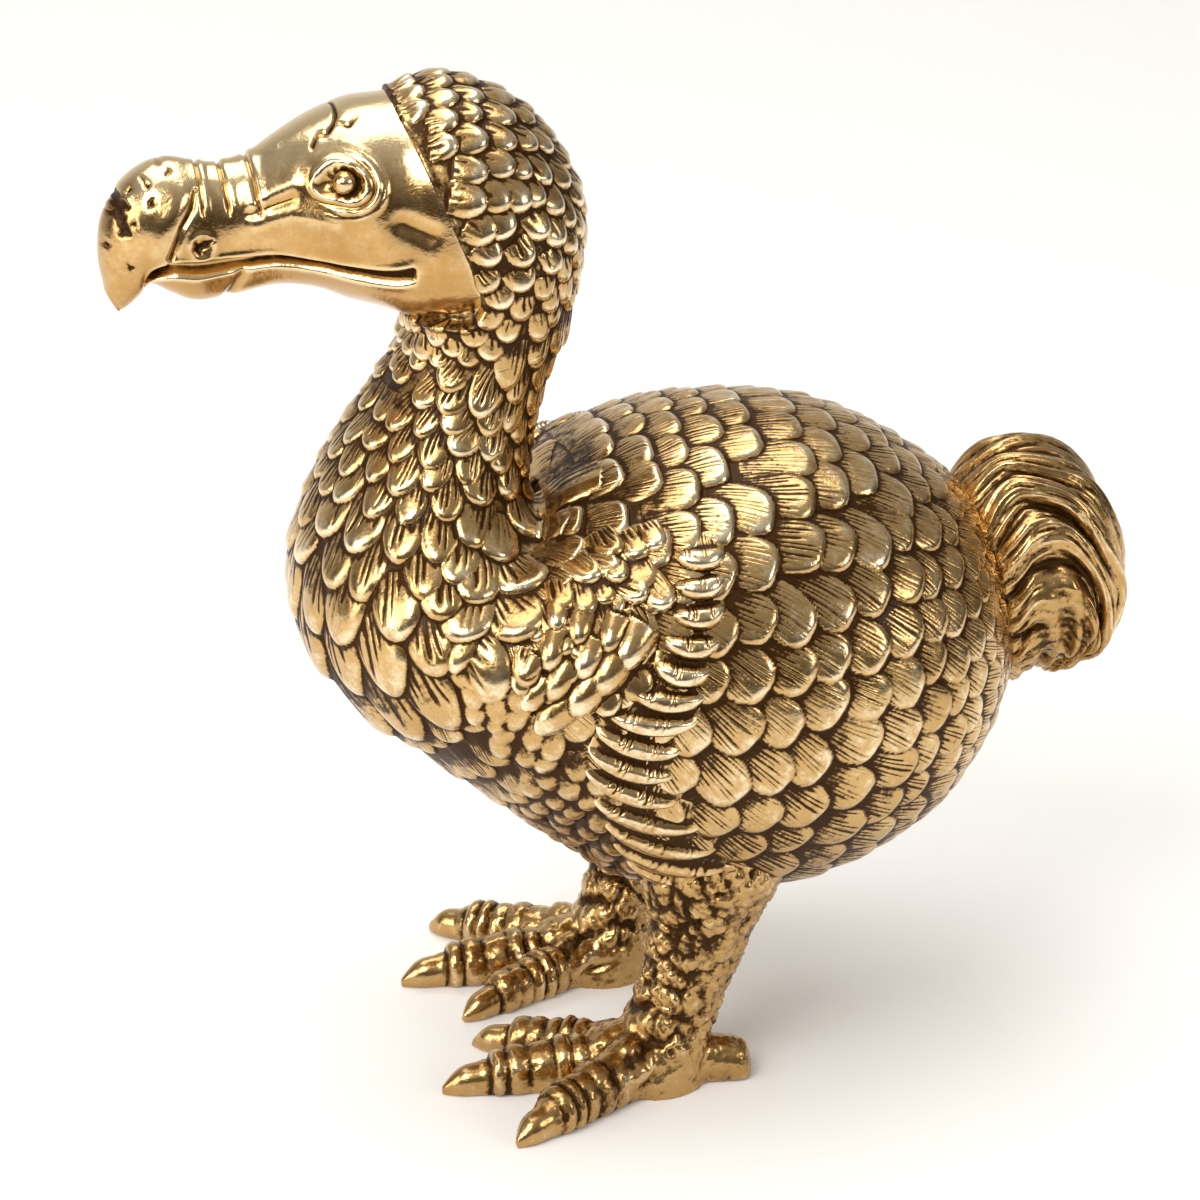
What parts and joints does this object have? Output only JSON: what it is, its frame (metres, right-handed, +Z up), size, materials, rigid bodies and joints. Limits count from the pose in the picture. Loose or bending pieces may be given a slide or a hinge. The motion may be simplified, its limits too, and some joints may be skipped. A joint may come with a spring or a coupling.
{
  "type": "dodo sculpture",
  "caption": "Free-standing cast brass dodo with overlapping feathers, a bare hooked bill, small banded wings, a curled tail tuft and splayed clawed feet; a table ornament.",
  "frame": {"origin": "on the ground between the feet, under the centre of the whole bird's outline", "axes": "+Z up; the bird faces -X; its left side, which the picture shows, is toward -Y"},
  "size_m": [0.2916, 0.155, 0.2919],
  "materials": {
    "feathered_brass": "polished on the raised feathers, dark brown patina in the recesses",
    "polished_brass": "bright polished with small casting pits",
    "raw_brass": "unpolished, hidden inside",
    "bolt_steel": "plain steel, hidden inside"
  },
  "bodies": {
    "root": {"head_shell": "feathered_brass", "neck_shell": "feathered_brass", "body_shell_left": "feathered_brass", "body_shell_right": "feathered_brass", "wing_left": "feathered_brass", "wing_right": "feathered_brass", "tail_plume": "feathered_brass", "leg_left": "feathered_brass", "leg_right": "feathered_brass", "face_mask": "polished_brass", "lower_bill": "polished_brass", "eye_left": "polished_brass", "eye_right": "polished_brass", "head_sleeve": "raw_brass", "neck_sleeve": "raw_brass", "jaw_dowel_left": "raw_brass", "jaw_dowel_right": "raw_brass", "seam_dowel_front": "raw_brass", "seam_dowel_rear": "raw_brass", "seam_dowel_belly": "raw_brass", "face_pin_left": "raw_brass", "face_pin_right": "raw_brass", "head_pin_left": "raw_brass", "head_pin_right": "raw_brass", "neck_pin_left": "raw_brass", "neck_pin_right": "raw_brass", "tail_pin_left": "raw_brass", "tail_pin_right": "raw_brass", "wing_pin_upper_left": "raw_brass", "wing_pin_upper_right": "raw_brass", "wing_pin_lower_left": "raw_brass", "wing_pin_lower_right": "raw_brass", "leg_stud_left": "bolt_steel", "leg_stud_right": "bolt_steel", "leg_washer_left": "bolt_steel", "leg_washer_right": "bolt_steel", "leg_nut_left": "bolt_steel", "leg_nut_right": "bolt_steel"}
  },
  "joints": []
}
